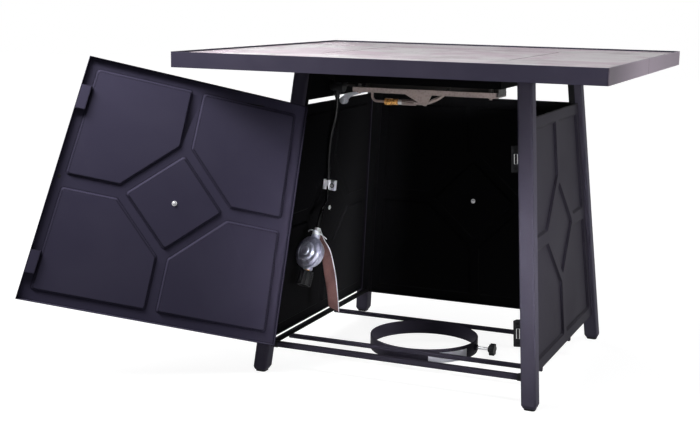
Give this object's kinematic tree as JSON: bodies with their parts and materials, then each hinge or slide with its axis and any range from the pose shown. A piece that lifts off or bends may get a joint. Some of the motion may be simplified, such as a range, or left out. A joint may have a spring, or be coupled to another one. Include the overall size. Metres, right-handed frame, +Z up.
{
  "type": "fire pit table",
  "caption": "Square-topped gas fire pit table on leaning legs, with pressed side panels, a hinged door, a lift-out burner lid and a cylinder ring inside.",
  "frame": {"origin": "middle of the table on the floor", "axes": "+X to the right of the door side, +Y to the back, +Z up"},
  "size_m": [0.9975, 0.9057, 0.6],
  "materials": {
    "printed_top": "satin stone-look print",
    "frame_paint": "dark grey powder coat, satin",
    "black_plastic": "satin",
    "galvanised": "galvanised",
    "stainless": "brushed",
    "brass": "machined",
    "bright_steel": "zinc plated",
    "dark_casting": "dark casting",
    "zinc_casting": "die-cast, satin",
    "hose_rubber": "smooth",
    "white_plastic": "satin",
    "tag_card": "card"
  },
  "bodies": {
    "frame": {"back_panel": "frame_paint", "back_top_rail": "frame_paint", "bracket_bolts": "galvanised", "burner_bracket": "galvanised", "burner_pan": "frame_paint", "burner_ring": "stainless", "catch_magnets": "bright_steel", "control_panel": "frame_paint", "foot_glides": "black_plastic", "front_left_leg": "frame_paint", "front_right_leg": "frame_paint", "front_stretcher": "frame_paint", "front_tank_rail": "frame_paint", "front_top_rail": "frame_paint", "gas_hose": "hose_rubber", "gas_valve": "dark_casting", "hang_tag": "tag_card", "hinge_frame_leaves": "frame_paint", "hinge_pins": "bright_steel", "hose_clip": "white_plastic", "hose_ferrule": "bright_steel", "igniter_barrel": "black_plastic", "igniter_lead": "hose_rubber", "injector": "brass", "injector_nut": "bright_steel", "inlet_nipple": "brass", "left_panel": "frame_paint", "left_side_rail": "frame_paint", "left_top_rail": "frame_paint", "lower_catch": "black_plastic", "mixer_gusset": "galvanised", "mixer_tube": "galvanised", "panel_screws": "bright_steel", "rear_left_leg": "frame_paint", "rear_right_leg": "frame_paint", "rear_tank_rail": "frame_paint", "regulator_body": "zinc_casting", "right_panel": "frame_paint", "right_side_rail": "frame_paint", "right_top_rail": "frame_paint", "spark_electrode": "white_plastic", "stretcher_brackets": "black_plastic", "supply_tube": "galvanised", "tabletop": "printed_top", "tank_ring": "frame_paint", "top_bolts": "bright_steel", "tube_clip": "white_plastic", "upper_catch": "black_plastic"},
    "door": {"door_panel": "frame_paint", "door_screw": "bright_steel", "upper_strike": "frame_paint", "lower_strike": "frame_paint", "hinge_door_leaves": "frame_paint"},
    "lid": {"burner_lid": "printed_top"},
    "stem": {"valve_stem": "bright_steel"},
    "knob": {"control_knob": "black_plastic"},
    "button": {"igniter_button": "black_plastic"},
    "screw": {"clamp_screw": "bright_steel"},
    "thumb_knob": {"clamp_knob": "black_plastic"},
    "coupling": {"coupling_nut": "black_plastic"}
  },
  "joints": [
    {"name": "door_hinge", "type": "hinge", "parent": "frame", "child": "door", "pos_m": [-0.21543, -0.2354, 0.275], "axis": [0.0869, 0.1205, 0.9889], "range_deg": [-20, 144]},
    {"name": "lid_lift", "type": "slide", "parent": "frame", "child": "lid", "axis": [0, 0, 1], "range_m": [0, 0.12]},
    {"name": "knob_turn", "type": "hinge", "parent": "frame", "child": "stem", "pos_m": [-0.21855, -0.039, 0.52917], "axis": [-0.9962, 0, 0.0876], "range_deg": [0, 110]},
    {"name": "knob_press", "type": "slide", "parent": "stem", "child": "knob", "axis": [0.9962, 0, -0.0876], "range_m": [0, 0.003], "stiffness_N_per_m": 800},
    {"name": "igniter_press", "type": "slide", "parent": "frame", "child": "button", "axis": [0.9962, 0, -0.0876], "range_m": [0, 0.005], "stiffness_N_per_m": 600},
    {"name": "clamp_slide", "type": "slide", "parent": "frame", "child": "screw", "axis": [-1, 0, 0], "range_m": [0, 0.004]},
    {"name": "clamp_turn", "type": "hinge", "parent": "screw", "child": "thumb_knob", "pos_m": [0.1217, -0.0367, 0.0335], "axis": [-1, 0, 0], "range_deg": [0, 960]},
    {"name": "coupling_spin", "type": "hinge", "parent": "frame", "child": "coupling", "pos_m": [-0.2097, -0.17242, 0.16753], "axis": [0.0614, 0.4239, 0.9036], "continuous": true}
  ],
  "couplings": [
    {"joint": "clamp_slide", "follows": "clamp_turn", "m_per_rad": 0.00023873}
  ]
}
